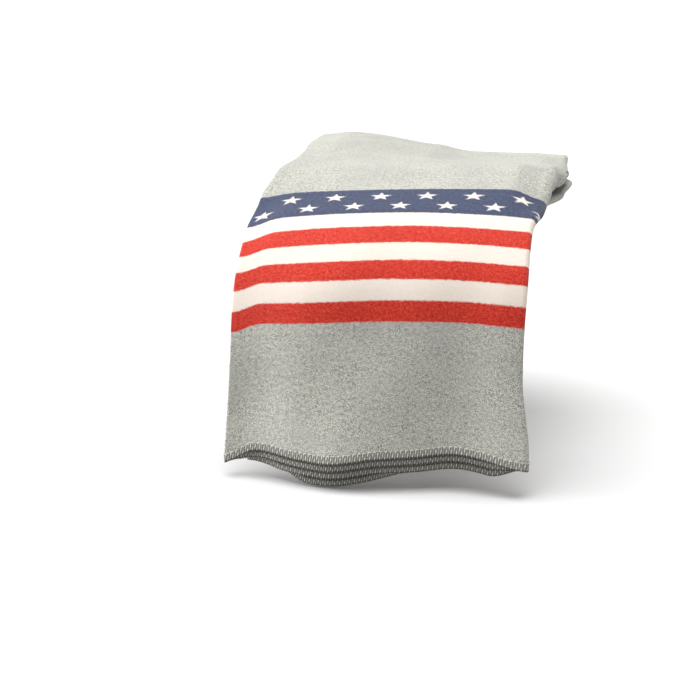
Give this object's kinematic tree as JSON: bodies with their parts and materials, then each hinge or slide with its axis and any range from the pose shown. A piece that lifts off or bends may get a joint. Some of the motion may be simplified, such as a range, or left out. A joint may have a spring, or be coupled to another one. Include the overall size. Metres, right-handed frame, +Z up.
{
  "type": "camp blanket",
  "caption": "Woven wool camp blanket with a striped and starred band, folded lengthwise and laid over a stack with its end hanging as a flap.",
  "frame": {"origin": "middle of the bottom run's underside, the face that lies on the stack", "axes": "+X to the right seen from the front, +Y to the rear, away from the hanging flap, +Z up"},
  "size_m": [0.4112, 0.6727, 0.3859],
  "materials": {
    "wool_cloth": "felted heather grey wool with a woven band: red and white stripes and a navy strip with white stars",
    "edge_thread": "overlocked grey marl thread"
  },
  "bodies": {
    "folded_base": {"upper_rear_fold": "wool_cloth", "fourth_layer_edge.upper_rear_fold": "edge_thread", "third_layer_edge.upper_rear_fold": "edge_thread", "second_run": "wool_cloth", "fourth_layer_edge.second_run": "edge_thread", "third_layer_edge.second_run": "edge_thread", "front_fold": "wool_cloth", "fourth_layer_edge.front_fold": "edge_thread", "third_layer_edge.front_fold": "edge_thread", "third_run": "wool_cloth", "fourth_layer_edge.third_run": "edge_thread", "third_layer_edge.third_run": "edge_thread", "lower_rear_fold": "wool_cloth", "fourth_layer_edge.lower_rear_fold": "edge_thread", "third_layer_edge.lower_rear_fold": "edge_thread", "bottom_run": "wool_cloth", "fourth_layer_edge.bottom_run": "edge_thread", "third_layer_edge.bottom_run": "edge_thread", "far_hem": "edge_thread"},
    "top_run": {"top_run": "wool_cloth", "fourth_layer_edge.top_run": "edge_thread", "third_layer_edge.top_run": "edge_thread", "front_slope": "wool_cloth", "fourth_layer_edge.front_slope": "edge_thread", "third_layer_edge.front_slope": "edge_thread", "crest": "wool_cloth", "fourth_layer_edge.crest": "edge_thread", "third_layer_edge.crest": "edge_thread"},
    "front_flap": {"front_flap": "wool_cloth", "fourth_layer_edge.front_flap": "edge_thread", "third_layer_edge.front_flap": "edge_thread", "front_hem": "edge_thread"}
  },
  "joints": [
    {"name": "top_run_open", "type": "hinge", "parent": "folded_base", "child": "top_run", "pos_m": [0, 0.2256, 0.0466], "axis": [-1, 0, 0], "range_deg": [0, 180], "deforming": ["upper_rear_fold", "fourth_layer_edge.upper_rear_fold", "third_layer_edge.upper_rear_fold"]},
    {"name": "flap_lift", "type": "hinge", "parent": "top_run", "child": "front_flap", "pos_m": [0, -0.36889, -0.03179], "axis": [-1, 0, 0], "range_deg": [0, 79], "deforming": ["crest", "fourth_layer_edge.crest", "third_layer_edge.crest"]}
  ]
}
